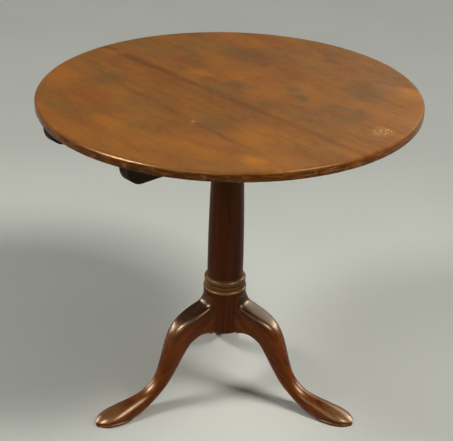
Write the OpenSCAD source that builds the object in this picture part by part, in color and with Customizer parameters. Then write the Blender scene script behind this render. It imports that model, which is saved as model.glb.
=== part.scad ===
// Tilt-top tea table: a round two-board top that tips upright on a block, a turned pillar and three
// cabriole legs dovetailed into its foot. The origin is on the floor under the pillar's axis, +Z is up.
// The top tips about X, the battens run along Y, and positive angles lift the catch side (+Y).

/* [Table] */
// Height of the table surface above the floor
table_h = 711; // [660:1:760]
// Diameter of the round top
top_d = 790; // [740:1:840]
// Thickness of the top boards
top_t = 21; // [18:0.5:25]
// Distance of the glued board joint from the pillar axis, towards the catch
seam_y = 23; // [0:1:60]

/* [Battens] */
// Depth of a batten below the boards
batten_d = 38; // [34:1:46]
// Width of a batten
batten_w = 24; // [20:1:30]
// Gap between the facing sides of the two battens
batten_gap = 214; // [190:1:240]

/* [Tilting block] */
// Length of the block from the pintle edge to the catch edge
block_l = 200; // [180:1:230]
// Thickness of the block
block_t = 32; // [30:1:36]
// Diameter of the round pintles that the top turns on
pintle_d = 18; // [14:1:20]

/* [Pillar] */
// Diameter of the pillar's foot, where the legs are housed
foot_d = 93; // [88:1:98]
// Diameter of the shaft just above the collar
shaft_d = 78; // [70:1:82]
// Diameter of the shaft just under the block
neck_d = 58; // [52:1:64]
// Height of the underside of the pillar above the floor
pillar_z = 162; // [150:1:175]

/* [Legs] */
// Horizontal reach of a toe from the pillar axis
leg_reach = 321; // [300:1:345]
// Width of a leg where it meets the pillar
leg_w = 51; // [46:1:54]
// Height of the pad under each foot
pad_h = 6.5; // [4:0.5:8]

/* [Catch] */
// How far the bolt can be drawn back
bolt_travel = 7.5; // [6:0.5:9]
// Width of the bolt
bolt_w = 16; // [12:1:20]

/* [Hidden] */
$fn = 96;
eps = 0.01;            // overshoot of cutting bodies

// ---- Heights and levels
under_z = table_h - top_t;              // underside of the boards, top face of the block
axis_z = under_z - block_t / 2;         // height of the tilt axis
axis_y = -(block_l - block_t) / 2;      // tilt axis, half the block's thickness in from its edge
catch_y = block_l / 2;                  // face of the block on the catch side

// ---- Top
top_r = top_d / 2;
top_arris = 6;         // rounding of the upper edge
under_arris = 5;       // rounding of the lower edge

// ---- Battens
batten_x = (batten_gap + batten_w) / 2; // middle of a batten
batten_inset = 3;      // batten end to rim, measured along the outer side
end_flat = 2;          // square strip left above the quarter-round end
end_r = batten_d - end_flat;
batten_end = sqrt(pow(top_r, 2) - pow(batten_x + batten_w / 2, 2)) - batten_inset;
screw_ys = [-0.82, -0.42, 0.2, 0.72] * batten_end;
batten_screw_r = 2.4;
batten_head_r = 4.8;
batten_head_t = 2.6;
counterbore_r = 6;
counterbore_h = 15;    // depth of a counterbore in the batten
batten_screw_l = 36;   // from under the head to the tip

// ---- Block
round_gap = 0.3;       // the rounded edge clears the boards by this much as they turn
side_gap = 0.4;        // between the block and each batten
block_w = batten_gap - 2 * side_gap;
pintle_gap = 0.05;     // radial running clearance of a pintle in its batten

// ---- Pillar
foot_r = foot_d / 2;
foot_chamfer = 1.5;    // round the pillar's underside
collar_z = pillar_z + 97;               // underside of the collar
lip_r = foot_r + 0.8;  // widest radius of the collar's lower member
lip_round = 3.2;       // rounding of the lip at its foot
// Face of the lower member above the lip, from below: [inset from the lip, height above the underside]
band_curve = [[1.2, 5.6], [1.5, 9], [2.1, 12], [2.9, 15], [3.7, 16.8]];
groove_r = foot_r - 4;
groove_h = 1.5;        // between the lower member and the bead
bead_r = 6.5;
bead_in = 1;           // how far the bead stays inside the pillar's foot
shaft_z = collar_z + 32;                // bottom of the plain shaft
shaft_swell = 2.6;     // fullness of the shaft a little below its middle
cove_r = 4;            // hollow where the shaft springs from the bead
shoulder_z = under_z - block_t;         // shoulder under the block
tenon_r = 22;
wedge_t = 3.2;         // thickness of the wedge at its upper edge
wedge_tip = 0.6;       // and at its lower edge
wedge_h = 27;

// ---- Dovetails
leg_angles = [80, 200, 320];            // directions of the back, left and right legs
tongue_top = 238;      // top of a dovetail, just under the top of the leg
tongue_h = tongue_top - pillar_z;
tongue_neck = 15;      // width at the pillar's surface
tongue_end = 22;       // width at its inner end
tongue_in = 17;        // depth into the pillar

// ---- Legs. One row for each cross-section from the pillar to the toe:
// [upper edge: out, up] [under edge: out, up] half width, height of the widest point, squareness.
// "Out" is from the pillar's face, "up" is from the floor and the widest point is a share of the depth.
nominal_reach = 321;
nominal_face = 46.5;
nominal_width = 51;
leg_rows = [
    [-3, 257, -4, 156, 25.5, 0.5, 5],
    [0, 250.3, -2, 156, 25.6, 0.5, 5],
    [3, 242.7, 1.5, 157, 25.7, 0.5, 5],
    [8, 233, 6, 159.5, 25.8, 0.5, 5.5],
    [15, 227.4, 11.5, 162.5, 26, 0.5, 6.5],
    [28, 221, 20, 164, 26.3, 0.5, 6.5],
    [51, 210.8, 33, 160, 26.5, 0.5, 5],
    [76, 197, 48.5, 145, 25.2, 0.5, 3.2],
    [93.5, 174, 61.5, 122, 23.4, 0.5, 2.7],
    [104, 146.5, 74, 99, 21, 0.5, 2.5],
    [113, 117.5, 86.5, 77, 19, 0.5, 2.3],
    [123, 89, 101, 55, 17.5, 0.5, 2.1],
    [138, 66, 120, 36, 17, 0.5, 2],
    [160, 49, 143, 18, 18.5, 0.5, 2],
    [187, 41, 171, 4, 22, 0.45, 2],
    [214, 35, 203, 0, 25.5, 0.42, 2],
    [238, 28.5, 234, 0, 26.5, 0.44, 2],
    [256, 21.5, 255.5, 0, 22.5, 0.55, 2],
    [267, 15.5, 267, 0, 14.5, 0.68, 2],
    [272.5, 11, 272.5, 0, 8, 0.85, 2],
    [274.5, 9.5, 274.5, 0, 3, 0.92, 2]
];
pad_from = 175;        // the pad grows out of the foot between these distances from the pillar's face
pad_full = 209;
hug_until = 9;         // sections up to here lie round the pillar, and beyond hug_end they are flat
hug_end = 37;
rings_per_row = 3;
half_sides = 8;        // points from the widest point to the edge line, a quarter of a ring

// ---- Catch, all under the boards on the +Y side of the block
bolt_h = 10;
bolt_gap = 0.2;        // sliding clearance all round the bolt
roof_t = 2.6;          // brass above the bolt
bolt_top = under_z - roof_t - bolt_gap;
bolt_z = bolt_top - bolt_h / 2;         // height of the bolt's middle
nose_l = 7;            // how far the nose stands into the keeper
case_gap = 1.5;        // between the case and the block
case_y = catch_y + case_gap;
case_l = 52;
case_wall = 3;
case_floor = 3.4;
flange_w = 46;
flange_t = 2.6;
bolt_l = 26;           // from the case's front to the bolt's shoulder
tail_r = 2.2;          // pin at the back of the bolt, inside the spring
tail_l = 12;
stem_r = 2.5;
stem_y = case_y + 17;
knob_r = 7;
stem_in = 6;           // depth of the stem in the bolt
neck_r = 3.6;
neck_gap = 0.6;        // between the knob's neck and the case
knob_rim = 2.6;        // rounding of the knob's rim, half its thickness
knob_drop = 11;        // from the case's floor to the bottom of the knob
keeper_w = 42;
keeper_h = 25;
keeper_t = 2;
mortise_gap = 0.5;     // round the nose in the keeper and the block
mortise_l = 10;        // depth of the mortise in the block
spring_wire = 0.9;
spring_r = 3.5;        // mean radius of the coils
spring_turns = 8;
catch_screw_r = 1.9;
catch_screw_l = 13;
catch_head_r = 3.6;
keeper_screw_l = 12;

// ---- Helpers
function spline(a, b, c, d, u) =
    0.5 * (2 * b + (c - a) * u + (2 * a - 5 * b + 4 * c - d) * u * u + (3 * b - a - 3 * c + d) * u * u * u);
function ease(x) = let (u = min(max(x, 0), 1)) u * u * (3 - 2 * u);
function root(value, power) = pow(max(value, 0), 2 / power);

// A flat-headed slotted screw with its head's outer face at the origin, pointing along +Z
module slotted_screw(r, length, head_r, head_t) {
    difference() {
        union() {
            cylinder(r1 = head_r, r2 = r, h = head_t);
            cylinder(r = r, h = length);
        }
        translate([-head_r, -0.5, -eps]) cube([2 * head_r, 1, 0.9 + eps]);
    }
}

// The tapered seat that such a head sinks into
module screw_seat(r, length, head_r, head_t) {
    cylinder(r1 = head_r, r2 = r, h = head_t);
    cylinder(r = r, h = length);
}

// ---- Top
module disc() {
    rotate_extrude($fn = 180) {
        square([top_r - top_arris, top_t]);
        translate([0, under_arris]) square([top_r, top_t - under_arris - top_arris]);
        square([top_r - under_arris, under_arris]);
        translate([top_r - top_arris, top_t - top_arris]) circle(top_arris, $fn = 48);
        translate([top_r - under_arris, under_arris]) circle(under_arris, $fn = 48);
    }
}

// One board of the top: the share of the disc on one side of the seam, with its screw holes
module board(side) {
    difference() {
        translate([0, 0, under_z]) intersection() {
            disc();
            translate([-top_r - 1, side > 0 ? seam_y : seam_y - 2 * top_r, -1])
                cube([2 * top_r + 2, 2 * top_r, top_t + 2]);
        }
        batten_screw_places(side) cylinder(r = batten_screw_r, h = batten_screw_l);
        if (side > 0) catch_screw_places() cylinder(r = catch_screw_r, h = catch_screw_l);
    }
}

module top_board_pivot_side() color("saddlebrown") board(-1);
module top_board_catch_side() color("sienna") board(1);

// ---- Battens
// Screw places along both battens, for the boards on one side of the seam, or all when side is 0
module batten_screw_places(side = 0) {
    for (x = [-batten_x, batten_x], y = screw_ys)
        if (side == 0 || side * (y - seam_y) > 0)
            translate([x, y, under_z - batten_d + counterbore_h]) children();
}

module batten(x) {
    difference() {
        translate([x - batten_w / 2, 0, under_z - batten_d]) {
            translate([0, end_r - batten_end, 0]) cube([batten_w, 2 * (batten_end - end_r), batten_d]);
            translate([0, -batten_end, end_r]) cube([batten_w, 2 * batten_end, end_flat]);
            for (side = [-1, 1]) intersection() {
                translate([0, side * (batten_end - end_r), end_r]) rotate([0, 90, 0])
                    cylinder(r = end_r, h = batten_w);
                translate([0, side > 0 ? batten_end - end_r : -batten_end, 0])
                    cube([batten_w, end_r, end_r]);
            }
        }
        batten_screw_places() {
            translate([0, 0, -counterbore_h - eps]) cylinder(r = counterbore_r, h = counterbore_h + 2 * eps);
            screw_seat(batten_screw_r, batten_screw_l, batten_head_r, batten_head_t);
        }
        translate([x - batten_w, axis_y, axis_z]) rotate([0, 90, 0])
            cylinder(d = pintle_d + 2 * pintle_gap, h = 2 * batten_w);
    }
}

module batten_left() color("saddlebrown") batten(-batten_x);
module batten_right() color("saddlebrown") batten(batten_x);

module batten_screws() color("dimgray") batten_screw_places()
    slotted_screw(batten_screw_r, batten_screw_l, batten_head_r, batten_head_t);

// ---- Tilting block
module tilt_block() color("sienna") {
    edge_r = block_t / 2 - round_gap;
    difference() {
        union() {
            translate([-block_w / 2, axis_y, shoulder_z]) cube([block_w, catch_y - axis_y, block_t]);
            translate([-block_w / 2, axis_y - edge_r, shoulder_z]) cube([block_w, edge_r + eps, block_t / 2]);
            translate([-block_w / 2, axis_y, axis_z]) rotate([0, 90, 0]) cylinder(r = edge_r, h = block_w);
            translate([-batten_gap / 2 - batten_w, axis_y, axis_z]) rotate([0, 90, 0])
                cylinder(d = pintle_d, h = batten_gap + 2 * batten_w);
        }
        translate([0, 0, shoulder_z - eps]) cylinder(r = tenon_r, h = block_t + 2 * eps);
        keeper_recess();
        keeper_screw_places() cylinder(r = catch_screw_r, h = keeper_screw_l);
    }
}

// The seat of the keeper in the block's edge, and the mortise behind it
module keeper_recess() {
    translate([-keeper_w / 2, catch_y - keeper_t, under_z - keeper_h])
        cube([keeper_w, keeper_t + eps, keeper_h + eps]);
    translate([-bolt_w / 2 - mortise_gap, catch_y - mortise_l, bolt_z - bolt_h / 2 - mortise_gap])
        cube([bolt_w + 2 * mortise_gap, mortise_l, bolt_h + 2 * mortise_gap]);
}

// ---- Pillar
// Radius of the shaft at a share of its height
function shaft_r(k) = (shaft_d + (neck_d - shaft_d) * k) / 2 + shaft_swell * sin(180 * pow(k, 0.9));

module collar_profile() {
    member_h = band_curve[len(band_curve) - 1][1];
    bead_z = collar_z + member_h + groove_h - 0.3;
    polygon(concat(
        [[0, collar_z], [lip_r - lip_round, collar_z]],
        [for (p = band_curve) [lip_r - p[0], collar_z + p[1]]],
        [[0, collar_z + member_h]]
    ));
    translate([lip_r - lip_round, collar_z + lip_round]) circle(lip_round, $fn = 48);
    translate([0, bead_z - groove_h]) square([groove_r, groove_h + 0.5]);
    translate([0, bead_z]) square([foot_r - bead_in - bead_r + 1, 2 * bead_r]);
    translate([foot_r - bead_in - bead_r, bead_z + bead_r]) circle(bead_r, $fn = 64);
}

module pillar_profile() {
    steps = 12;
    cove_z = shaft_z - 2;
    cove_top = 7;
    polygon([[0, pillar_z], [foot_r - foot_chamfer, pillar_z], [foot_r, pillar_z + foot_chamfer],
        [foot_r, collar_z + 1], [0, collar_z + 1]]);
    collar_profile();
    polygon(concat(
        [[0, cove_z - 1], [shaft_r(0) + 0.6 * cove_r, cove_z - 1]],
        [for (a = [0:15:90])
            [shaft_r(0) + 0.6 * cove_r * (1 - sin(a)), cove_z + 1.6 * cove_r * (1 - cos(a))]],
        [for (i = [1:steps]) let (k = i / steps)
            [shaft_r(k), cove_z + cove_top + (shoulder_z - cove_z - cove_top) * k]],
        [[0, shoulder_z]]
    ));
    translate([0, shoulder_z - 1]) square([tenon_r, block_t + 1]);
}

module wedge_prism() {
    translate([0, tenon_r + 1, under_z]) rotate([90, 0, 0]) linear_extrude(2 * tenon_r + 2)
        polygon([[-wedge_t / 2, 0], [wedge_t / 2, 0], [wedge_tip / 2, -wedge_h], [-wedge_tip / 2, -wedge_h]]);
}

module dovetail() {
    linear_extrude(tongue_h) polygon([
        [foot_r + 2, -tongue_neck / 2], [foot_r - 1, -tongue_neck / 2], [foot_r - tongue_in, -tongue_end / 2],
        [foot_r - tongue_in, tongue_end / 2], [foot_r - 1, tongue_neck / 2], [foot_r + 2, tongue_neck / 2]
    ]);
}

module pillar() color("#3a1c0c") difference() {
    rotate_extrude($fn = 128) pillar_profile();
    for (a = leg_angles) rotate(a) translate([0, 0, pillar_z]) dovetail();
    wedge_prism();
}

module tenon_wedge() color("peru") intersection() {
    wedge_prism();
    translate([0, 0, under_z - wedge_h]) cylinder(r = tenon_r, h = wedge_h);
}

// ---- Legs
function leg_row(t) = let (n = len(leg_rows) - 1, i = min(floor(t * n), n - 1))
    spline(leg_rows[max(i - 1, 0)], leg_rows[i], leg_rows[i + 1], leg_rows[min(i + 2, n)], t * n - i);

// One quarter of a cross-section as [sideways, height from the widest point] pairs, in shares
function oval_point(j, power) = let (a = 90 * j / half_sides) [root(cos(a), power), root(sin(a), power)];

// The lower quarter where the foot stands on its pad: [inset, height] in mm
function pad_point(j, half, belt) = let (
    give = min(1, half / 12),
    shape = [[0, belt], [0.3, (belt + pad_h) / 2], [1.4, pad_h + 1], [2.2, pad_h],
        [0.8, pad_h - 0.8], [0.3, pad_h / 2], [1.2, 1], [3.5, 0]]
) j == half_sides ? [0, 0] : [half - shape[j][0] * give, shape[j][1]];

function leg_ring(t) = let (
    row = leg_row(t),
    upper = [row[0], row[1]],
    under = [row[2], max(row[3], 0)],
    half = row[4] * leg_w / nominal_width,
    depth = norm(upper - under),
    along = (upper - under) / depth,
    belt = depth * row[5],
    pad = ease((row[2] - pad_from) / (pad_full - pad_from)),
    hug = 1 - ease((row[0] - hug_until) / (hug_end - hug_until)),
    quarter_up = [for (j = [0:half_sides]) let (p = oval_point(j, row[6]))
        [p[0] * half, belt + p[1] * (depth - belt)]],
    quarter_down = [for (j = [0:half_sides]) let (
        p = oval_point(j, row[6]),
        oval = [p[0] * half, belt * (1 - p[1])]
    ) oval * (1 - pad) + pad_point(j, half, belt) * pad],
    outline = concat(
        [for (j = [0:half_sides - 1]) quarter_up[j]],
        [for (j = [half_sides:-1:1]) [-quarter_up[j][0], quarter_up[j][1]]],
        [for (j = [0:half_sides - 1]) [-quarter_down[j][0], quarter_down[j][1]]],
        [for (j = [half_sides:-1:1]) quarter_down[j]]
    )
) [for (p = outline) let (
    q = under + along * p[1],
    x = foot_r + q[0] * (leg_reach - foot_r) / (nominal_reach - nominal_face)
) [x - hug * (x - sqrt(x * x - p[0] * p[0])), p[0], max(q[1], 0)]];

module leg_body() {
    sides = 4 * half_sides;
    count = (len(leg_rows) - 1) * rings_per_row;
    points = [for (i = [0:count]) each leg_ring(i / count)];
    skin = [for (i = [0:count - 1], j = [0:sides - 1]) let (k = (j + 1) % sides, a = i * sides, b = a + sides)
        each [[a + j, b + j, b + k], [a + j, b + k, a + k]]];
    caps = [[for (j = [0:sides - 1]) j], [for (j = [sides - 1:-1:0]) count * sides + j]];
    polyhedron(points, concat(skin, caps), convexity = 6);
}

// A leg that points along +X: coped to the pillar, with its dovetail tongue
module leg() {
    difference() {
        leg_body();
        translate([0, 0, pillar_z / 2]) cylinder(r = foot_r, h = table_h / 2, $fn = 128);
    }
    translate([0, 0, pillar_z]) intersection() {
        dovetail();
        cylinder(r = foot_r + 0.5, h = tongue_h);
    }
}

module leg_back() color("#5a2c12") rotate(leg_angles[0]) leg();
module leg_left() color("#5a2c12") rotate(leg_angles[1]) leg();
module leg_right() color("#5a2c12") rotate(leg_angles[2]) leg();

// ---- Catch
module catch_screw_places() {
    for (x = [-1, 1] * (flange_w / 2 - 5.5), y = [case_y + 8, case_y + case_l - 8])
        translate([x, y, under_z - flange_t]) children();
}

module keeper_screw_places() {
    for (x = [-1, 1] * (keeper_w / 2 - 5))
        translate([x, catch_y, under_z - keeper_h + 6]) rotate([90, 0, 0]) children();
}

module catch_case() color("goldenrod") {
    inner_w = bolt_w + 2 * bolt_gap;
    inner_h = bolt_h + 2 * bolt_gap;
    floor_z = bolt_z - inner_h / 2 - case_floor;
    difference() {
        union() {
            translate([-inner_w / 2 - case_wall, case_y, floor_z])
                cube([inner_w + 2 * case_wall, case_l, under_z - floor_z]);
            translate([-flange_w / 2, case_y, under_z - flange_t]) cube([flange_w, case_l, flange_t]);
        }
        translate([-inner_w / 2, case_y - eps, bolt_z - inner_h / 2])
            cube([inner_w, case_l - case_wall + eps, inner_h]);
        for (shift = [0, bolt_travel]) translate([0, stem_y + shift, floor_z - eps])
            cylinder(r = stem_r + 0.3, h = case_floor + 2 * eps);
        translate([-stem_r - 0.3, stem_y, floor_z - eps])
            cube([2 * stem_r + 0.6, bolt_travel, case_floor + 2 * eps]);
        catch_screw_places() screw_seat(catch_screw_r, flange_t + eps, catch_head_r, 2.2);
    }
}

// Spring bolt at rest, with its nose in the keeper: the nose is bevelled below to ride over the lip
module catch_bolt() color("gold") {
    nose_y = catch_y - nose_l;
    shoulder_y = case_y + bolt_l;
    low = bolt_z - bolt_h / 2;
    difference() {
        union() {
            translate([-bolt_w / 2, 0, 0]) rotate([90, 0, 90]) linear_extrude(bolt_w) polygon([
                [shoulder_y, low], [shoulder_y, bolt_top], [nose_y, bolt_top],
                [nose_y, bolt_top - 3], [nose_y + nose_l, low]
            ]);
            translate([0, shoulder_y - eps, bolt_z]) rotate([-90, 0, 0]) cylinder(r = tail_r, h = tail_l);
        }
        translate([0, stem_y, low - eps]) cylinder(r = stem_r, h = stem_in + eps);
    }
}

// Turned knob under the case, on a stem that passes through the slot into the bolt
module catch_knob() color("gold") {
    floor_z = bolt_z - bolt_h / 2 - bolt_gap - case_floor;
    bottom_z = floor_z - knob_drop;
    translate([0, stem_y, 0]) rotate_extrude() {
        translate([0, bottom_z]) square([knob_r - knob_rim, 2 * knob_rim]);
        translate([knob_r - knob_rim, bottom_z + knob_rim]) circle(knob_rim, $fn = 48);
        translate([0, bottom_z]) square([neck_r, knob_drop - neck_gap]);
        translate([0, bottom_z]) square([stem_r, bolt_z - bolt_h / 2 + stem_in - bottom_z]);
    }
}

// Compression spring between the bolt's shoulder and the back wall of the case
module catch_spring() color("silver") {
    from_y = case_y + bolt_l + spring_wire / 2 + 0.1;
    to_y = case_y + case_l - case_wall - spring_wire / 2 - 0.1;
    per_turn = 14;
    sides = 6;
    count = spring_turns * per_turn;
    points = [for (i = [0:count], j = [0:sides - 1]) let (
        turn = 360 * i / per_turn,
        r = spring_r + spring_wire / 2 * cos(360 * j / sides)
    ) [r * cos(turn), from_y + (to_y - from_y) * i / count + spring_wire / 2 * sin(360 * j / sides),
        bolt_z + r * sin(turn)]];
    skin = [for (i = [0:count - 1], j = [0:sides - 1]) let (k = (j + 1) % sides, a = i * sides, b = a + sides)
        each [[a + j, b + j, b + k], [a + j, b + k, a + k]]];
    caps = [[for (j = [0:sides - 1]) j], [for (j = [sides - 1:-1:0]) count * sides + j]];
    polyhedron(points, concat(skin, caps), convexity = 10);
}

module catch_keeper() color("goldenrod") difference() {
    translate([-keeper_w / 2, catch_y - keeper_t, under_z - keeper_h]) cube([keeper_w, keeper_t, keeper_h]);
    translate([-bolt_w / 2 - mortise_gap, catch_y - keeper_t - 1, bolt_z - bolt_h / 2 - mortise_gap])
        cube([bolt_w + 2 * mortise_gap, keeper_t + 2, bolt_h + 2 * mortise_gap]);
    keeper_screw_places() screw_seat(catch_screw_r, keeper_t + 1, catch_head_r, 1.8);
}

module catch_screws() color("goldenrod") catch_screw_places()
    slotted_screw(catch_screw_r, catch_screw_l, catch_head_r, 2.2);

module keeper_screws() color("goldenrod") keeper_screw_places()
    slotted_screw(catch_screw_r, keeper_screw_l, catch_head_r, 1.8);

top_board_pivot_side();
top_board_catch_side();
batten_left();
batten_right();
batten_screws();
tilt_block();
tenon_wedge();
pillar();
leg_back();
leg_left();
leg_right();
catch_case();
catch_bolt();
catch_knob();
catch_spring();
catch_keeper();
catch_screws();
keeper_screws();
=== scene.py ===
"""Finishes, light and camera for a tilt-top tea table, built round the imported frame.

All sizes are in metres, +Z is up and the table stands on z = 0. The top tips about an axis along X, and the
grain of its boards runs along X too.
"""
import math

import bmesh
import bpy
from mathutils import Matrix, Vector, noise


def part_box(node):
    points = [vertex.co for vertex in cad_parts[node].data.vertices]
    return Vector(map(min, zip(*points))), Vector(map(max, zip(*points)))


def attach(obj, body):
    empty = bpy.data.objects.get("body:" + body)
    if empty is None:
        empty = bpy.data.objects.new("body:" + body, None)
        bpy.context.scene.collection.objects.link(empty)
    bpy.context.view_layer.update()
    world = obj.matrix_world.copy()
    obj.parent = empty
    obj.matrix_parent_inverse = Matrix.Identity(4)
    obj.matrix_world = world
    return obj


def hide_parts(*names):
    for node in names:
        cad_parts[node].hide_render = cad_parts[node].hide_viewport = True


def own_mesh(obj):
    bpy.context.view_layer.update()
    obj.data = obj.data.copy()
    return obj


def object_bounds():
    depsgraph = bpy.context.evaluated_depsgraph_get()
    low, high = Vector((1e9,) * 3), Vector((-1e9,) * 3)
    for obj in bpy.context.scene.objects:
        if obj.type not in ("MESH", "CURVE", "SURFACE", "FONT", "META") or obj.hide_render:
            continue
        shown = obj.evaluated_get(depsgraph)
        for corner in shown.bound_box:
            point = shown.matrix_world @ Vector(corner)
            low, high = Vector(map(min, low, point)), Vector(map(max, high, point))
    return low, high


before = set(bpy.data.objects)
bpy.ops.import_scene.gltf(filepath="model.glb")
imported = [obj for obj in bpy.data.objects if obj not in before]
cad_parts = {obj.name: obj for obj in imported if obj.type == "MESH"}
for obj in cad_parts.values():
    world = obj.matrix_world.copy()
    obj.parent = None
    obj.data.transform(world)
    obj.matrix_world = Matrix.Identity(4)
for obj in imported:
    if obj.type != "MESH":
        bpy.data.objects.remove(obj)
CAD_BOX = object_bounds()

# ---- Places read from the frame
TOP_Z = CAD_BOX[1].z
UNDER_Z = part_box("top_board_pivot_side")[0].z
TOP_R = CAD_BOX[1].y
TOP_T = TOP_Z - UNDER_Z
SEAM_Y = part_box("top_board_catch_side")[0].y

# ---- Places that no box in the frame gives
LEG_ANGLES = {"leg_back": 80, "leg_left": 200, "leg_right": 320}     # degrees round from +X
COLLAR_Z = 0.259                                                     # underside of the pillar's collar

# ---- Camera: where it stands as seen from the table, and how it is held
CAMERA_SIDE = 137          # degrees round from +X
CAMERA_DISTANCE = 2.4174   # from the pillar's axis, along the floor
CAMERA_HEIGHT = 1.6307
CAMERA_PITCH = 26.625      # degrees below the horizon
CAMERA_ROLL = 1.506
LENS = 100.34
SENSOR = 36


# ---- Small helpers
def clamp(value):
    return min(max(value, 0), 1)


def srgb(red, green, blue):
    """A colour given as 0 to 255 on the screen, as the linear colour that a shader takes."""
    def linear(value):
        value /= 255
        return value / 12.92 if value <= 0.04045 else ((value + 0.055) / 1.055) ** 2.4
    return (linear(red), linear(green), linear(blue), 1)


class Finish:
    """One material and its node tree. Sockets that keep one value all over are set on the shader."""

    def __init__(self, name, **surface):
        self.material = bpy.data.materials.new(name)
        self.material.use_nodes = True
        self.tree = self.material.node_tree
        self.shader = self.tree.nodes["Principled BSDF"]
        for socket, value in surface.items():
            self.shader.inputs[socket.replace("_", " ")].default_value = value

    def feed(self, socket, value):
        """Links another node's output to a socket, or sets the socket to a plain value."""
        if isinstance(value, bpy.types.NodeSocket):
            self.tree.links.new(value, socket)
        else:
            socket.default_value = value

    def add(self, kind, inputs=None, output=0, **settings):
        """A node of that kind. inputs maps socket names or numbers to values or other nodes' outputs."""
        node = self.tree.nodes.new("ShaderNode" + kind)
        for name, value in settings.items():
            setattr(node, name, value)
        for key, value in (inputs or {}).items():
            self.feed(node.inputs[key], value)
        return node.outputs[output]

    def surface(self, socket, value):
        self.feed(self.shader.inputs[socket], value)

    def tint(self, amount, colour):
        """Mixes a colour over the base colour so far. amount is 0 to 1."""
        base = self.shader.inputs["Base Color"]
        self.feed(base, self.mix(amount, base.links[0].from_socket, colour))

    def roughen(self, amount, roughness):
        """Mixes a roughness over the roughness so far. amount is 0 to 1."""
        rough = self.shader.inputs["Roughness"]
        self.feed(rough, self.blend(amount, rough.links[0].from_socket, roughness))

    def point(self):
        """The point in its object's own coordinates, which are the row frame's on all pieces but the legs."""
        return self.add("TexCoord", output=3)

    def coordinates(self):
        """The three numbers of point()."""
        node = self.tree.nodes.new("ShaderNodeSeparateXYZ")
        self.feed(node.inputs[0], self.point())
        return node.outputs

    def attribute(self, name):
        """A number stored on the mesh's points, or 0 on a mesh without it."""
        return self.add("Attribute", attribute_name=name, output=2)

    def math(self, operation, a, b=0.0):
        return self.add("Math", {0: a, 1: b}, operation=operation)

    def times(self, a, b):
        return self.math("MULTIPLY", a, b)

    def remap(self, value, low, high, to_low=0.0, to_high=1.0, smooth=True):
        """value from low..high to to_low..to_high, held at the ends."""
        return self.add("MapRange", {"Value": value, "From Min": low, "From Max": high,
                                     "To Min": to_low, "To Max": to_high},
                        interpolation_type="SMOOTHSTEP" if smooth else "LINEAR")

    def mix(self, factor, a, b):
        """Colour a where factor is 0, and colour b where it is 1."""
        return self.add("Mix", {0: factor, 6: a, 7: b}, output=2, data_type="RGBA")

    def blend(self, factor, a, b):
        """Number a where factor is 0, and number b where it is 1."""
        return self.add("Mix", {0: factor, 2: a, 3: b}, data_type="FLOAT")

    def noise(self, place, scale, detail=3.0, roughness=0.55, distortion=0.0):
        return self.add("TexNoise", {"Vector": place, "Scale": scale, "Detail": detail,
                                     "Roughness": roughness, "Distortion": distortion})

    def ramp(self, value, stops):
        """The colour that the stops, each a place and a colour, give to a value."""
        node = self.tree.nodes.new("ShaderNodeValToRGB")
        self.feed(node.inputs[0], value)
        points = node.color_ramp.elements
        while len(points) < len(stops):
            points.new(0.5)
        for point, (place, colour) in zip(points, stops):
            point.position = place
            point.color = colour
        return node.outputs[0]

    def bump(self, height, distance, strength=1.0, under=None):
        inputs = {"Height": height, "Distance": distance, "Strength": strength}
        if under is not None:
            inputs["Normal"] = under
        return self.add("Bump", inputs)


# ---- Wood
ALONG_X = (0, 0, 0)
ALONG_Y = (0, 0, math.pi / 2)
ALONG_Z = (0, -math.pi / 2, 0)
ALONG_LEG = (0, math.radians(41), 0)     # from the knee down to the toe, in a leg's own frame
FIBRE_STRETCH = 16                       # how many times as long as wide the fibres are
CLOUD_STRETCH = 2.2                      # and the clouds and rubbed places over them
SEED_WAY = (1, 0.7, 0.3)                 # a seed shifts the pattern this way

# Noises: (scale, detail, roughness, distortion), where the last one or two may be left out
STREAKS = (75, 6, 0.62, 0.25)
CLOUDS = (7.5, 4, 0.55, 0.4)
PORES = (620, 2, 0.5)
RUBBING = (30, 5, 0.65)
SWELLS = (28, 2)

PORE_SHADE = 0.35
PORE_DEPTH = 0.00003
SWELL_HEIGHT = 0.0001
SWELL_STRENGTH = 0.4
WAX_TINT = (1.0, 0.76, 0.5, 1)           # old wax over brown wood gives warm highlights
WAX_ROUGHNESS = 0.17

# The dark, middle and light tones of each wood
TOP_TONES = (srgb(108, 66, 24), srgb(132, 81, 31), srgb(154, 96, 37))
PILLAR_TONES = (srgb(52, 18, 2), srgb(90, 37, 5), srgb(112, 51, 10))
LEG_TONES = (srgb(52, 19, 2), srgb(104, 46, 6), srgb(142, 71, 12))
BLOCK_TONES = (srgb(32, 19, 9), srgb(54, 33, 16), srgb(78, 50, 27))
BATTEN_TONES = (srgb(20, 12, 6), srgb(34, 21, 11), srgb(54, 36, 20))


def grain_space(finish, grain, stretch, seed=0.0):
    """Object coordinates turned so that the grain is X, and squeezed along it."""
    shift = [seed * part for part in SEED_WAY]
    place = finish.add("VectorMath", {0: finish.point(), 1: shift}, operation="ADD")
    return finish.add("Mapping", {"Vector": place, "Rotation": grain, "Scale": (stretch, 1, 1)},
                      vector_type="TEXTURE")


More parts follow.
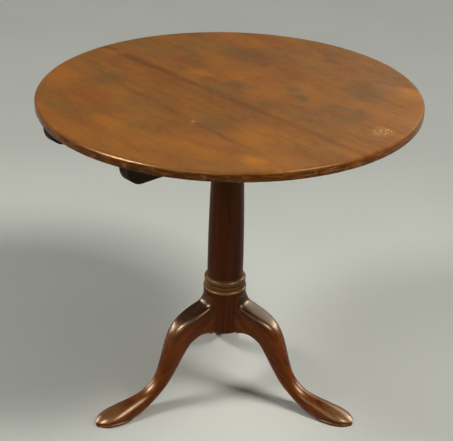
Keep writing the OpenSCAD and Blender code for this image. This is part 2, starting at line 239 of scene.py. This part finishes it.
def wood(name, grain, tones, contrast=0.16, cloud=0.35, roughness=(0.55, 0.67), gloss=0.1, wax=0.0, seed=0.0):
    """Old wood in a dark, a middle and a light tone.

    cloud is the clouds' share in its figure, and roughness is that of its smoothest and its dullest places.
    """
    finish = Finish(name, Specular_IOR_Level=gloss, Specular_Tint=WAX_TINT, Coat_Weight=wax,
                    Coat_Roughness=WAX_ROUGHNESS)
    fibres = grain_space(finish, grain, FIBRE_STRETCH, seed)
    broad = grain_space(finish, grain, CLOUD_STRETCH, seed)
    figure = finish.blend(cloud, finish.noise(fibres, *STREAKS), finish.noise(broad, *CLOUDS))
    stops = [(0.5 - contrast, tones[0]), (0.5, tones[1]), (0.5 + contrast, tones[2])]
    finish.surface("Base Color", finish.ramp(figure, stops))
    pores = finish.remap(finish.noise(fibres, *PORES), 0.58, 0.7)
    finish.tint(finish.times(pores, PORE_SHADE), tones[0])
    finish.surface("Roughness", finish.remap(finish.noise(broad, *RUBBING), 0.3, 0.7, *roughness))
    swell = finish.bump(finish.noise(broad, *SWELLS), SWELL_HEIGHT, SWELL_STRENGTH)
    finish.surface("Normal", finish.bump(pores, -PORE_DEPTH, 1.0, swell))
    return finish


# ---- Polish of the legs and the pillar
LEG_SEED = 7.0
RUBBED_BROWN = srgb(138, 84, 40)         # on what stands proud
HOLLOW_DARK_BROWN = srgb(26, 12, 5)            # laid darker in the hollows, by how deep they lie
PAINTED_SHADE_BROWN = srgb(24, 10, 3)             # painted shade on the legs' tops, near the pillar
PAINTED_SHADE_STRENGTH = 0.8
TRODDEN_AND_SHEEN_BROWN = srgb(122, 92, 56)        # on the feet's tops: wear, and a painted sheen

PILLAR_SEED = 5.0
SHADE_BROWN = srgb(26, 9, 2)             # strongest right under the top
SHADE_STRENGTH = 0.85
SHADE_END = COLLAR_Z + 0.09              # and gone at this height
# wear, and painted highlights on the collar's bead and lip
COLLAR_WEAR_AND_HIGHLIGHT = srgb(160, 112, 60)
BAND_FADE = 0.0012
# Mouldings of the collar: (lowest, highest, how strongly the paler brown of wear and painted highlight is
# laid)
COLLAR_MEMBERS = [
    (COLLAR_Z + 0.002, COLLAR_Z + 0.0065, 0.95),
    (COLLAR_Z + 0.0065, COLLAR_Z + 0.016, 0.5),
    (COLLAR_Z + 0.019, COLLAR_Z + 0.031, 0.6)
]


def carved_polish():
    """The legs: rubbed lighter on what stands proud, darker in the hollows, painted shade on their tops near
    the pillar, worn and with a painted sheen on the feet.
    """
    finish = wood("leg_polish", ALONG_LEG, LEG_TONES, contrast=0.22, roughness=(0.24, 0.36), gloss=0.15,
                  wax=0.04, seed=LEG_SEED)
    broken = finish.noise(grain_space(finish, ALONG_LEG, 1, LEG_SEED), 60, 5, 0.7)
    worn = finish.times(finish.attribute("wear"), finish.remap(broken, 0.35, 0.65, 0.15, 0.7))
    dark_hollows = finish.times(finish.attribute("hollow_depth"), finish.remap(broken, 0.3, 0.7, 0.9, 0.4))
    shaded_tops = finish.times(finish.attribute("painted_shade"), PAINTED_SHADE_STRENGTH)
    trodden_and_sheen = finish.times(finish.attribute("trodden_and_sheen"), finish.remap(broken, 0.3, 0.7, 0.3, 0.6))
    finish.tint(worn, RUBBED_BROWN)
    # darker in the hollows, by how deep they lie
    finish.tint(dark_hollows, HOLLOW_DARK_BROWN)
    # painted shade on the legs' tops near the pillar
    finish.tint(shaded_tops, PAINTED_SHADE_BROWN)
    # worn feet, with a painted sheen on their tops
    finish.tint(trodden_and_sheen, TRODDEN_AND_SHEEN_BROWN)
    return finish.material


def level_band(finish, z, low, high):
    """1 between two heights, fading to 0 just outside them."""
    return finish.times(finish.remap(z, low - BAND_FADE, low), finish.remap(z, high + BAND_FADE, high))


def turned_polish():
    """The pillar: painted shade under the top, and collar mouldings painted paler for wear and highlights."""
    finish = wood("pillar_polish", ALONG_Z, PILLAR_TONES, roughness=(0.31, 0.43), wax=0.02, seed=PILLAR_SEED)
    z = finish.coordinates()[2]
    finish.tint(finish.remap(z, UNDER_Z, SHADE_END, SHADE_STRENGTH, 0.0, smooth=False), SHADE_BROWN)
    broken = finish.noise(grain_space(finish, ALONG_Z, 1, PILLAR_SEED), 70, 4, 0.6)
    for low, high, strength in COLLAR_MEMBERS:
        uneven = finish.remap(broken, 0.3, 0.7, 0.6 * strength, strength)
        # paler bands on the mouldings: wear and painted highlights
        finish.tint(finish.times(level_band(finish, z, low, high), uneven), COLLAR_WEAR_AND_HIGHLIGHT)
    return finish.material


# ---- The top's worn polish
# Clouds along the grain: (scale, stretch, seed, noise where one starts and is full, strength, tone)
TOP_CLOUDS = [
    (11, 1.8, 2.0, 0.42, 0.66, 0.6, srgb(108, 82, 44)),
    (9, 2.2, 9.0, 0.47, 0.68, 0.6, srgb(164, 98, 30)),
    (17, 2.6, 13.0, 0.46, 0.66, 0.55, srgb(120, 62, 34)),
    (70, 1.6, 21.0, 0.4, 0.7, 0.3, srgb(106, 84, 48)),
    (90, 1.6, 33.0, 0.4, 0.7, 0.3, srgb(160, 98, 42))
]

SEAM_BROWN = srgb(100, 54, 30)
SEAM_WIDTH = 0.017
LINE_BROWN = srgb(92, 54, 34)            # a fainter line along the board on the catch side
LINE_WIDTH = 0.014
LINE_Y = 0.155                           # where it crosses the middle of the top
LINE_SLOPE = 0.06
LINE_MIDDLE_X = -0.02

# Marks, in metres from the pillar's axis: (x, y, radius, strength)
STAINS = [
    (0.02, -0.05, 0.06, 0.9), (-0.07, -0.105, 0.035, 0.9), (-0.115, -0.1, 0.03, 1.0),
    (-0.095, -0.02, 0.06, 0.7), (0.015, -0.315, 0.045, 0.9), (-0.235, -0.105, 0.08, 0.7),
    (-0.175, -0.22, 0.09, 0.7), (-0.11, 0.13, 0.06, 0.7), (0.19, -0.07, 0.06, 0.6),
    (0.215, 0.14, 0.06, 0.6), (0.08, 0.16, 0.07, 0.6), (0.13, -0.19, 0.1, 0.5), (-0.05, 0.225, 0.04, 0.5)
]
WARM_PATCHES = [
    (0.128, -0.024, 0.045, 0.7), (-0.285, 0.195, 0.05, 1.0), (0.025, 0.29, 0.07, 0.5),
    (0.345, 0.035, 0.05, 0.6), (-0.24, -0.28, 0.06, 0.6), (-0.2, 0.12, 0.06, 0.4)
]
SCUFFS = [
    (0, 0.115, 0.007, 0.8), (-0.07, 0.16, 0.009, 1.0), (-0.338, -0.085, 0.03, 1.0),
    (0.13, 0.02, 0.004, 0.6), (-0.02, 0.19, 0.004, 0.6)
]
STAIN_BROWN = srgb(88, 66, 42)
PATCH_ORANGE = srgb(176, 108, 34)
SCUFF_CORE = 0.25                        # share of its radius over which a scuff is at its strongest
SCUFF_PALE = srgb(196, 160, 92)

# The rim, where each pair says where a look starts and where it is full
RIM_INSETS = (0.006, 0.003)              # in from the edge
SIDE_DEPTHS = (0.002, 0.007)             # below the top's face
FOOT_HEIGHTS = (0.0045, 0.001)           # above the underside
RIM_SQUEEZE = 0.1                        # squeezes the noise round the rim into long streaks
RIM_STREAKS = (330, 5, 0.62, 0.2)
RIM_STOPS = [(0.34, srgb(58, 22, 4)), (0.5, srgb(98, 48, 12)), (0.68, srgb(156, 98, 38))]
RIM_STRENGTH = 0.85
RIM_ROUGHNESS = 0.25
# painted shade on the rim's lower, downward rounding
RIM_FOOT_SHADE_BROWN = srgb(40, 20, 9)
RIM_FOOT_SHADE_STRENGTH = 0.7
NICK_PALE = srgb(178, 128, 74)

# The bare underside
BARE_HEIGHTS = (0.0008, 0.0002)
BARE_STOPS = [(0.3, srgb(48, 27, 11)), (0.5, srgb(72, 43, 18)), (0.7, srgb(96, 62, 29))]
BARE_ROUGHNESS = 0.75


def spots(finish, places, marks, core=0.0):
    """How much of one of the soft round marks lies at a point, 0 to 1. places are ragged coordinates."""
    total = None
    for x, y, radius, strength in marks:
        away = finish.add("VectorMath", {0: places, 1: (x, y, TOP_Z)}, output=1, operation="DISTANCE")
        mark = finish.remap(away, radius, core * radius, 0, strength)
        total = mark if total is None else finish.math("MAXIMUM", total, mark)
    return total


def ragged(finish, amount, scale):
    """Object coordinates pushed about by noise, so that what is drawn with them has torn edges."""
    place = finish.point()
    push = finish.add("TexNoise", {"Vector": place, "Scale": scale, "Detail": 4.0}, output=1)
    centred = finish.add("VectorMath", {0: push, 1: (0.5, 0.5, 0.5)}, operation="SUBTRACT")
    scaled = finish.add("VectorMath", {0: centred, 1: (amount, amount, 0)}, operation="MULTIPLY")
    return finish.add("VectorMath", {0: place, 1: scaled}, operation="ADD")


def stripe(finish, off_centre, width, along, uneven):
    """A faint line along the grain. along and uneven are its shares by its length and by chance."""
    line = finish.remap(finish.math("ABSOLUTE", off_centre), width, 0.0)
    return finish.times(finish.times(line, along), uneven)


def cloud_over(finish):
    """Olive, orange and red clouds along the grain."""
    for scale, stretch, seed, low, high, strength, tone in TOP_CLOUDS:
        cloud = finish.noise(grain_space(finish, ALONG_X, stretch, seed), scale, 5, 0.62, 0.35)
        finish.tint(finish.remap(cloud, low, high, 0, strength), tone)


def stain_lines(finish, x, y, broken):
    """The dark stain along the seam, and a fainter line that runs a little askew."""
    seam = stripe(finish, finish.math("SUBTRACT", y, SEAM_Y), SEAM_WIDTH,
                  finish.remap(x, -0.4, 0.35, 0.6, 1.0), finish.remap(broken, 0.25, 0.6, 0.45, 0.85))
    finish.tint(seam, SEAM_BROWN)
    askew = finish.math("ADD", y, finish.times(x, LINE_SLOPE))
    from_middle = finish.math("ABSOLUTE", finish.math("SUBTRACT", x, LINE_MIDDLE_X))
    line = stripe(finish, finish.math("SUBTRACT", askew, LINE_Y), LINE_WIDTH,
                  finish.remap(from_middle, 0.26, 0.14), finish.remap(broken, 0.25, 0.6, 0.1, 0.5))
    finish.tint(line, LINE_BROWN)


def mark(finish, broken):
    """Warm patches, dull stains, and scuffs whose flecks are paler wood."""
    torn = ragged(finish, 0.1, 16)
    warm = finish.times(spots(finish, torn, WARM_PATCHES), finish.remap(broken, 0.3, 0.6, 0.3, 0.9))
    finish.tint(warm, PATCH_ORANGE)
    dull = finish.times(spots(finish, torn, STAINS), finish.remap(broken, 0.3, 0.62, 0.25, 0.85))
    finish.tint(dull, STAIN_BROWN)
    scuffed = spots(finish, ragged(finish, 0.02, 160), SCUFFS, SCUFF_CORE)
    flecks = finish.remap(finish.noise(grain_space(finish, ALONG_X, 2), 300, 4, 0.7), 0.48, 0.6)
    finish.tint(finish.times(scuffed, flecks), SCUFF_PALE)


def rub_rim(finish, x, y, z):
    """The rim's side, rubbed in long streaks, with painted shade along its foot, pale where it is nicked, and
    smoother.
    """
    from_axis = finish.math("SQRT", finish.math("ADD", finish.times(x, x), finish.times(y, y)))
    rim = finish.remap(from_axis, TOP_R - RIM_INSETS[0], TOP_R - RIM_INSETS[1])
    side = finish.times(rim, finish.remap(z, TOP_Z - SIDE_DEPTHS[0], TOP_Z - SIDE_DEPTHS[1]))
    round_rim = finish.times(finish.math("ARCTAN2", y, x), TOP_R)
    along = finish.add("CombineXYZ", {0: finish.times(round_rim, RIM_SQUEEZE), 1: z})
    streaks = finish.ramp(finish.noise(along, *RIM_STREAKS), RIM_STOPS)
    finish.tint(finish.times(side, RIM_STRENGTH), streaks)
    # painted shade along the rim's foot
    foot = finish.times(rim, finish.remap(z, UNDER_Z + FOOT_HEIGHTS[0], UNDER_Z + FOOT_HEIGHTS[1]))
    finish.tint(finish.times(foot, RIM_FOOT_SHADE_STRENGTH), RIM_FOOT_SHADE_BROWN)
    speckle = finish.noise(grain_space(finish, ALONG_X, 1), 420, 4, 0.7)
    finish.tint(finish.times(finish.attribute("wear"), finish.remap(speckle, 0.42, 0.62, 0, 0.75)), NICK_PALE)
    finish.roughen(rim, RIM_ROUGHNESS)


def top_polish():
    """The worn top: clouds along the grain, a stained seam, marks, a rubbed rim and a bare underside."""
    finish = wood("top_polish", ALONG_X, TOP_TONES, contrast=0.2, cloud=0.5, roughness=(0.44, 0.54),
                  gloss=0.12)
    x, y, z = finish.coordinates()
    broken = finish.noise(grain_space(finish, ALONG_X, 4), 32, 5, 0.65)
    cloud_over(finish)
    stain_lines(finish, x, y, broken)
    mark(finish, broken)
    rub_rim(finish, x, y, z)
    below = finish.remap(z, UNDER_Z + BARE_HEIGHTS[0], UNDER_Z + BARE_HEIGHTS[1])
    finish.tint(below, finish.ramp(broken, BARE_STOPS))
    finish.roughen(below, BARE_ROUGHNESS)
    return finish.material


# ---- Metal
TARNISH = (160, 5, 0.65, 0.3)
PITS = (900, 3, 0.6)
PIT_DEPTH = 0.00005
PIT_STRENGTH = 0.6
# Metals: (bright, tarnished, roughness)
BRASS = (srgb(158, 120, 62), srgb(88, 66, 34), 0.4)
STEEL = (srgb(120, 112, 104), srgb(62, 50, 42), 0.45)


def metal(name, bright, tarnished, roughness):
    """Old metal: bright where it is handled, dull in patches."""
    finish = Finish(name, Metallic=1.0)
    place = finish.point()
    blotches = finish.noise(place, *TARNISH)
    finish.surface("Base Color", finish.mix(finish.remap(blotches, 0.35, 0.65), bright, tarnished))
    finish.surface("Roughness", finish.remap(blotches, 0.3, 0.7, roughness - 0.1, roughness + 0.15))
    finish.surface("Normal", finish.bump(finish.noise(place, *PITS), PIT_DEPTH, PIT_STRENGTH))
    return finish.material


# ---- Pieces made from the frame's own forms
WELD = 1e-6                        # points closer than this are one

RELIEF_BLURS = 2
WEAR_GAIN = 6                      # how fast wear grows as a point stands prouder
WEAR_START = 0.3
HOLLOW_GAIN = 8                     # how fast the hollows' darkening grows as a point lies deeper

PAINTED_SHADE_END = 0.135                   # how far out along a leg's top the painted shade reaches
PAINTED_SHADE_FADE = 0.03
FOOT_START = 0.245                 # where the foot's rubbed top and its painted sheen begin
FOOT_FADE = 0.035

FLAT_ENOUGH = math.radians(30)     # two triangles join into a quad when the fold between them is below this
SQUARE_ENOUGH = math.radians(60)   # and its corners are no further than this from square
LEG_CREASE = math.radians(50)      # folds above this stay sharp
COPLANAR = math.radians(0.5)
ARRIS = math.radians(40)           # folds above this are eased


def welded_form(name):
    """A copy of a node's mesh with its doubled points joined."""
    mesh = bmesh.new()
    mesh.from_mesh(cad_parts[name].data)
    bmesh.ops.remove_doubles(mesh, verts=mesh.verts, dist=WELD)
    bmesh.ops.dissolve_degenerate(mesh, dist=WELD, edges=mesh.edges)
    return mesh


def add_piece(name, mesh, body, material, replaces, turn=Matrix.Identity(4)):
    """Links a piece whose mesh is in its own frame, which turn places in the row frame."""
    for face in mesh.faces:
        face.smooth = True
    mesh.normal_update()
    data = bpy.data.meshes.new(name)
    mesh.to_mesh(data)
    mesh.free()
    piece = bpy.data.objects.new(name, data)
    bpy.context.scene.collection.objects.link(piece)
    piece.matrix_world = turn
    data.materials.append(material)
    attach(piece, body)
    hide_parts(*replaces)
    return piece


def relief(mesh):
    """Stores on each point how far it stands proud (wear) or how deep it lies in a hollow, both 0 to 1."""
    wear = mesh.verts.layers.float.new("wear")
    hollow_depth = mesh.verts.layers.float.new("hollow_depth")
    values = {}
    for point in mesh.verts:
        steps = [edge.other_vert(point).co - point.co for edge in point.link_edges]
        lean = sum(step.normalized().dot(point.normal) for step in steps)
        values[point] = lean / max(len(steps), 1)
    for _ in range(RELIEF_BLURS):
        values = {point: (value + sum(values[edge.other_vert(point)] for edge in point.link_edges))
                  / (1 + len(point.link_edges)) for point, value in values.items()}
    for point, value in values.items():
        point[wear] = clamp(-value * WEAR_GAIN - WEAR_START)
        point[hollow_depth] = clamp(value * HOLLOW_GAIN)


def leg_marks(mesh):
    """Stores on each point of a leg how much painted shade lies there, and how much of the foot's wear and
    painted sheen, 0 to 1.
    """
    painted_shade = mesh.verts.layers.float.new("painted_shade")
    trodden_and_sheen = mesh.verts.layers.float.new("trodden_and_sheen")
    for point in mesh.verts:
        facing_up = clamp(2 * point.normal.z)
        # painted shade: darker on the upward faces of a leg's top near the pillar
        point[painted_shade] = facing_up * clamp((PAINTED_SHADE_END - point.co.x) / PAINTED_SHADE_FADE)
        # wear and painted sheen on the upward faces of the feet
        point[trodden_and_sheen] = facing_up ** 2 * clamp((point.co.x - FOOT_START) / FOOT_FADE)


def carved_leg(name, material):
    """A leg in its own frame, pointing along +X: quads between sharp edges, rounded once."""
    turn = Matrix.Rotation(math.radians(LEG_ANGLES[name]), 4, "Z")
    mesh = welded_form(name)
    mesh.transform(turn.inverted())
    bmesh.ops.join_triangles(mesh, faces=mesh.faces, angle_face_threshold=FLAT_ENOUGH,
                             angle_shape_threshold=SQUARE_ENOUGH)
    mesh.normal_update()
    crease = mesh.edges.layers.float.new("crease_edge")
    for edge in mesh.edges:
        if len(edge.link_faces) == 2 and edge.calc_face_angle() > LEG_CREASE:
            edge[crease] = 1.0
    relief(mesh)
    leg_marks(mesh)
    leg = add_piece(name + "_carved", mesh, "pedestal", material, [name], turn)
    rounding = leg.modifiers.new("rounding", "SUBSURF")
    rounding.levels = rounding.render_levels = 1
    return leg


def softened(name, body, material, width):
    """A node whose arrises are eased by that width, as handled and waxed edges are."""
    mesh = welded_form(name)
    bmesh.ops.dissolve_limit(mesh, angle_limit=COPLANAR, verts=mesh.verts, edges=mesh.edges,
                             delimit={"NORMAL"})
    piece = add_piece(name + "_eased", mesh, body, material, [name])
    easing = piece.modifiers.new("easing", "BEVEL")
    easing.width = width
    easing.segments = 2
    easing.limit_method = "ANGLE"
    easing.angle_limit = ARRIS
    easing.harden_normals = True


# ---- Top boards
RIM_SEGMENTS = 1080
UPPER_ARRIS = 0.006
UPPER_STEPS = 9
LOWER_ARRIS = 0.005
LOWER_STEPS = 6
SIDE_STEPS = 5
FACE_RING = 0.012                  # a ring on the upper face, in from the edge
LAST_RING = 0.03                   # the innermost ring on both faces
SEAM_ARRIS = 0.00015
ON_SEAM = 1e-5                     # points closer than this to the seam's upper edge lie on it
SHARP = math.radians(30)           # folds above this are shaded sharp

DAMAGE_REACH = 0.01                # how far in from the edge the rim's damage reaches
RIM_WOBBLE = 0.0003                # the hand-turned rim lies up to twice this far inside a true circle
BARE_DENT = 0.0005                 # a dent this deep has lost all its polish
# Damage: (noise scale, shift, noise where it starts, depth for each unit above that)
DENTS = (95, Vector((0, 0, 0)), 0.36, 0.0028)
CHIPS = (240, Vector((3, 7, 1)), 0.42, 0.0016)
KNOCKED_HEIGHT = 0.013             # the rim is damaged most up to this height above its underside
UPPER_SHARE = 0.45                 # and this much of it above


def rim_profile():
    """(inset from the rim, height above the underside), from the flat underside round to the flat top."""
    lower = [(LOWER_ARRIS * (1 - math.sin(a)), LOWER_ARRIS * (1 - math.cos(a)))
             for a in (math.radians(90 / LOWER_STEPS * i) for i in range(LOWER_STEPS + 1))]
    side = [(0, LOWER_ARRIS + (TOP_T - LOWER_ARRIS - UPPER_ARRIS) * i / SIDE_STEPS)
            for i in range(1, SIDE_STEPS)]
    upper = [(UPPER_ARRIS * (1 - math.cos(a)), TOP_T - UPPER_ARRIS * (1 - math.sin(a)))
             for a in (math.radians(90 / UPPER_STEPS * i) for i in range(UPPER_STEPS + 1))]
    return [(LAST_RING, 0)] + lower + side + upper + [(FACE_RING, TOP_T), (LAST_RING, TOP_T)]


def rim_damage(place):
    """Depth of the small dents and rubbed places that a table's rim collects, in metres."""
    depth = sum(max(noise.noise(place * scale + shift) - start, 0) * gain
                for scale, shift, start, gain in (DENTS, CHIPS))
    return depth * (1.0 if place.z < UNDER_Z + KNOCKED_HEIGHT else UPPER_SHARE)


def round_disc():
    """The whole round top as one closed mesh, with its wear stored on the points of the rim."""
    mesh = bmesh.new()
    wear = mesh.verts.layers.float.new("wear")
    profile = rim_profile()
    rings = []
    for i in range(RIM_SEGMENTS):
        angle = math.tau * i / RIM_SEGMENTS
        out = Vector((math.cos(angle), math.sin(angle), 0))
        wobble = RIM_WOBBLE * (noise.noise(out * 3) - 1)
        ring = []
        for inset, height in profile:
            at_rim = 1.0 if inset < DAMAGE_REACH else 0.0
            place = out * (TOP_R - inset) + Vector((0, 0, UNDER_Z + height))
            depth = rim_damage(place) * at_rim
            point = mesh.verts.new(place - out * (depth - wobble * at_rim))
            point[wear] = min(depth / BARE_DENT, 1)
            ring.append(point)
        rings.append(ring)
    for i, ring in enumerate(rings):
        after = rings[(i + 1) % RIM_SEGMENTS]
        for j in range(len(profile) - 1):
            mesh.faces.new((ring[j], after[j], after[j + 1], ring[j + 1]))
    mesh.faces.new([ring[0] for ring in reversed(rings)])
    mesh.faces.new([ring[-1] for ring in rings])
    bmesh.ops.recalc_face_normals(mesh, faces=mesh.faces)
    return mesh


def board(name, side, material):
    """One board: the disc on one side of the seam, with the seam's upper edge just eased."""
    mesh = round_disc()
    cut = bmesh.ops.bisect_plane(
        mesh, geom=mesh.verts[:] + mesh.edges[:] + mesh.faces[:], dist=WELD,
        plane_co=(0, SEAM_Y, 0), plane_no=(0, -side, 0), clear_outer=True)
    edges = [part for part in cut["geom_cut"] if isinstance(part, bmesh.types.BMEdge)]
    bmesh.ops.contextual_create(mesh, geom=edges)
    seam = [edge for edge in mesh.edges
            if all(abs(v.co.y - SEAM_Y) < ON_SEAM and v.co.z > TOP_Z - ON_SEAM for v in edge.verts)]
    bmesh.ops.bevel(mesh, geom=seam, offset=SEAM_ARRIS, segments=1, affect="EDGES")
    for edge in mesh.edges:
        edge.smooth = edge.calc_face_angle() < SHARP
    add_piece(name + "_worn", mesh, "top", material, [name])


# ---- The catch's spring
SPRING_WIRE = 0.00045                    # radius of the wire
SPRING_TURNS = 8
TURN_STEPS = 28
WIRE_SIDES = 10


def coil_spring(material):
    """A compression spring whose first and last turns lie closed."""
    low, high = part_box("catch_spring")
    middle = (low + high) / 2
    radius = (high.x - low.x) / 2 - SPRING_WIRE
    start, end = low.y + SPRING_WIRE, high.y - SPRING_WIRE
    closed = 2 * SPRING_WIRE / (end - start)         # how far one closed turn goes, as a share of the length
    mesh = bmesh.new()
    rings = []
    for i in range(SPRING_TURNS * TURN_STEPS + 1):
        turns = i / TURN_STEPS
        along = (min(turns, 1) + max(turns - SPRING_TURNS + 1, 0)) * closed
        along += clamp((turns - 1) / (SPRING_TURNS - 2)) * (1 - 2 * closed)
        angle = math.tau * turns
        out = Vector((math.cos(angle), 0, math.sin(angle)))
        centre = Vector((middle.x, start + (end - start) * along, middle.z)) + out * radius
        rings.append([mesh.verts.new(centre + SPRING_WIRE * (out * math.cos(a) + Vector((0, math.sin(a), 0))))
                      for a in (math.tau * j / WIRE_SIDES for j in range(WIRE_SIDES))])
    for ring, after in zip(rings, rings[1:]):
        for j in range(WIRE_SIDES):
            k = (j + 1) % WIRE_SIDES
            mesh.faces.new((ring[j], after[j], after[k], ring[k]))
    mesh.faces.new(rings[0])
    mesh.faces.new(reversed(rings[-1]))
    bmesh.ops.recalc_face_normals(mesh, faces=mesh.faces)
    spring = add_piece("catch_spring_coil", mesh, "top", material, ["catch_spring"])
    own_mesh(spring)


# ---- The finishes go on the pieces
# How far the arrises are eased
BATTEN_EASE = 0.0012
BLOCK_EASE = 0.0008
BRASS_EASE = 0.0003


def dress(material, *names):
    """Gives a finish to nodes that keep the frame's own form."""
    for name in names:
        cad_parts[name].material_slots[0].material = material


def make_pieces():
    """Makes and dresses all the pieces. Returns the pillar and the legs."""
    polish = top_polish()
    board("top_board_pivot_side", -1, polish)
    board("top_board_catch_side", 1, polish)
    leg_polish = carved_polish()
    legs = [carved_leg(name, leg_polish) for name in LEG_ANGLES]
    batten = wood("batten_wood_old", ALONG_Y, BATTEN_TONES).material
    for name in ("batten_left", "batten_right"):
        softened(name, "top", batten, BATTEN_EASE)
    block = wood("block_wood_old", ALONG_X, BLOCK_TONES, seed=3.0).material
    softened("tilt_block", "pedestal", block, BLOCK_EASE)
    dress(block, "tenon_wedge")
    dress(turned_polish(), "pillar")
    brass = metal("brass_aged", *BRASS)
    steel = metal("steel_dark", *STEEL)
    for name, body in (("catch_case", "top"), ("catch_keeper", "pedestal"), ("catch_bolt", "catch_bolt")):
        softened(name, body, brass, BRASS_EASE)
    dress(brass, "catch_knob", "catch_screws", "keeper_screws")
    dress(steel, "batten_screws")
    coil_spring(steel)
    return [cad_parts["pillar"]] + legs


# ---- Stage, light and camera
FLOOR_SIZE = 80
FLOOR_TONES = (srgb(214, 217, 210), srgb(222, 225, 218))
LIT_REACH = 1.5          # the lamps light the floor this far from the table
PALE_REACH = 7           # from here on the floor shows a plain pale grey of its own
PALE_GLOW = 0.55
WORLD_GREY = srgb(205, 207, 202)
WORLD_LIGHT = 0.12       # what the world gives as light
WORLD_SEEN = (("Is Camera Ray", 0.6), ("Is Transmission Ray", 0.6), ("Is Glossy Ray", 0.25))

LAMP_AIM = Vector((0, 0, 0.5))
# Lamps that light everything: (name, side, height, distance, size, power, colour)
LAMPS = [
    ("key", 62, 3.5, 2.3, (1.2, 0.9), 105, (1.0, 0.97, 0.93)),
    ("fill", -78, 3.2, 2.4, (1.0, 0.8), 55, (1.0, 0.98, 0.95))
]
# Lamps that show only in the polish: (name, side, height, distance, size, power)
GLINT_COLOUR = (1.0, 0.93, 0.76)
GLINTS = [
    ("rim_right", 49, 2.4, 2.3, (1.6, 0.8), 80),
    ("glint_left", -64, 2.3, 2.2, (1.0, 0.8), 420),
    ("glint_front", -18, 1.7, 2.8, (0.9, 0.5), 50),
    ("haze", 148, 2.6, 4.4, (4.0, 2.0), 55)
]
# Strong or low ones that reach only the pillar and the legs, because they would glare in the top
BASE_GLINTS = [
    ("glint_right", 49, 2.4, 2.3, (1.6, 0.8), 370),
    ("sheen_right", 132, 2.0, 3.0, (2.0, 1.4), 70),
    ("knee_right", 119, 1.3, 3.0, (1.0, 0.7), 120),
    ("knee_left", -114, 1.1, 3.0, (1.1, 0.7), 120)
]


def make_floor():
    """A pale floor, lit near the table and of one plain grey in the distance."""
    bpy.ops.mesh.primitive_plane_add(size=FLOOR_SIZE)
    floor = bpy.context.object
    floor.name = "floor"
    finish = Finish("floor_paper", Roughness=0.9, Specular_IOR_Level=0.0)
    soft = finish.noise(finish.point(), 1.2, 2)
    finish.surface("Base Color", finish.ramp(soft, [(0.3, FLOOR_TONES[0]), (0.7, FLOOR_TONES[1])]))
    reach = finish.add("VectorMath", {0: finish.point()}, output=1, operation="LENGTH")
    rays = [finish.add("LightPath", output=ray)
            for ray in ("Is Camera Ray", "Is Glossy Ray", "Is Transmission Ray")]
    seen = finish.math("MAXIMUM", finish.math("MAXIMUM", rays[0], rays[1]), rays[2])
    glow = finish.remap(reach, LIT_REACH, PALE_REACH, 0, PALE_GLOW, smooth=False)
    finish.surface("Emission Color", FLOOR_TONES[0])
    finish.surface("Emission Strength", finish.times(glow, seen))
    floor.data.materials.append(finish.material)


def make_world():
    """A plain grey world, which shows brighter than it lights."""
    world = bpy.data.worlds.new("studio")
    bpy.context.scene.world = world
    world.use_nodes = True
    tree = world.node_tree
    ground = tree.nodes["Background"]
    ground.inputs["Color"].default_value = WORLD_GREY
    rays = tree.nodes.new("ShaderNodeLightPath")
    strength = None
    for ray, seen in WORLD_SEEN:
        step = tree.nodes.new("ShaderNodeMath")
        step.operation = "MULTIPLY_ADD"
        step.inputs[1].default_value = seen - WORLD_LIGHT
        step.inputs[2].default_value = WORLD_LIGHT
        tree.links.new(rays.outputs[ray], step.inputs[0])
        if strength is not None:
            tree.links.new(strength, step.inputs[2])
        strength = step.outputs[0]
    tree.links.new(strength, ground.inputs["Strength"])


def add_lamp(name, side, height, distance, size, power, colour):
    """A soft rectangular lamp that looks at the table. side is in degrees round from the camera's side."""
    data = bpy.data.lights.new(name, "AREA")
    data.shape = "RECTANGLE"
    data.size, data.size_y = size
    data.energy = power
    data.color = colour
    lamp = bpy.data.objects.new(name, data)
    bpy.context.scene.collection.objects.link(lamp)
    angle = math.radians(CAMERA_SIDE + side)
    lamp.location = (distance * math.cos(angle), distance * math.sin(angle), height)
    lamp.rotation_euler = (LAMP_AIM - lamp.location).to_track_quat("-Z", "Y").to_euler()
    return lamp


def add_glint(*settings):
    """A lamp that shows in the polish but doesn't light the wood under it."""
    lamp = add_lamp(*settings, GLINT_COLOUR)
    lamp.visible_diffuse = False
    return lamp


def reach_only(lamp, pieces):
    """Lets a lamp light those pieces and nothing else."""
    reached = bpy.data.collections.new(lamp.name + "_reach")
    for piece in pieces:
        reached.objects.link(piece)
    lamp.light_linking.receiver_collection = reached


def light_scene(base):
    """The world and the lamps. base is the pillar and the legs."""
    make_world()
    for settings in LAMPS:
        add_lamp(*settings)
    for settings in GLINTS:
        add_glint(*settings)
    for settings in BASE_GLINTS:
        reach_only(add_glint(*settings), base)
    bpy.context.scene.view_settings.view_transform = "Standard"


def make_camera():
    """The camera, which stands and is held as the values at the head of this script say."""
    data = bpy.data.cameras.new("camera")
    data.sensor_fit = "HORIZONTAL"
    data.sensor_width = SENSOR
    data.lens = LENS
    camera = bpy.data.objects.new("camera", data)
    bpy.context.scene.collection.objects.link(camera)
    side = math.radians(CAMERA_SIDE)
    place = Vector((CAMERA_DISTANCE * math.cos(side), CAMERA_DISTANCE * math.sin(side), CAMERA_HEIGHT))
    turn = Matrix.Rotation(side + math.pi / 2, 4, "Z")
    tilt = Matrix.Rotation(math.radians(90 - CAMERA_PITCH), 4, "X")
    roll = Matrix.Rotation(math.radians(CAMERA_ROLL), 4, "Z")
    camera.matrix_world = Matrix.Translation(place) @ turn @ tilt @ roll
    bpy.context.scene.camera = camera


make_camera()
make_floor()
base_pieces = make_pieces()
light_scene(base_pieces)

bpy.context.view_layer.update()
